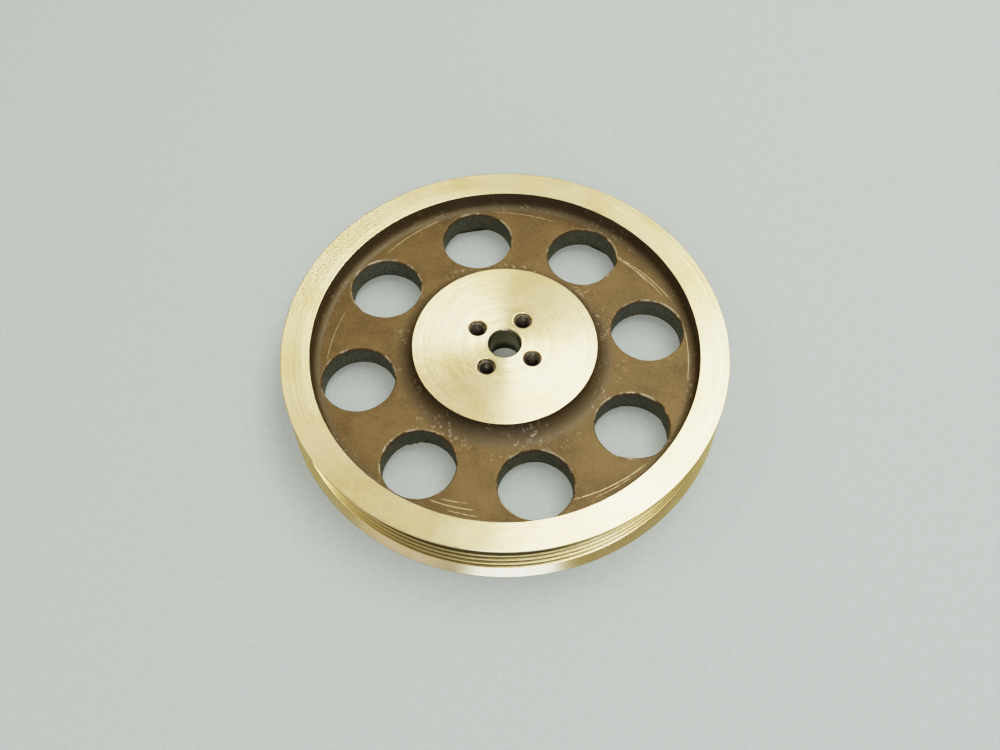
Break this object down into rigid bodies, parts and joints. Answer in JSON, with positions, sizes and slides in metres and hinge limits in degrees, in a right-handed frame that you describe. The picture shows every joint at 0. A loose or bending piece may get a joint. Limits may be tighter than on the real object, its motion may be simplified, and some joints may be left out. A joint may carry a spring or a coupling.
{
  "type": "supercharger drive pulley",
  "caption": "Cast bronze ribbed-belt drive pulley: flanged rim, pierced web and flat hub with a bore and threaded screw holes.",
  "frame": {"origin": "on the wheel's axis, at the back face of the rim, on which the pulley lies", "axes": "+Z along the axis, from the back face towards the hub's front face; +X through the middle of one lightening hole"},
  "size_m": [0.1708, 0.1708, 0.0235],
  "materials": {
    "cast_bronze": "turned faces satin, web left as cast and brown",
    "insert_steel": "dull threaded steel"
  },
  "bodies": {
    "root": {"pulley_wheel": "cast_bronze", "thread_insert_1": "insert_steel", "thread_insert_2": "insert_steel", "thread_insert_3": "insert_steel", "thread_insert_4": "insert_steel"}
  },
  "joints": []
}
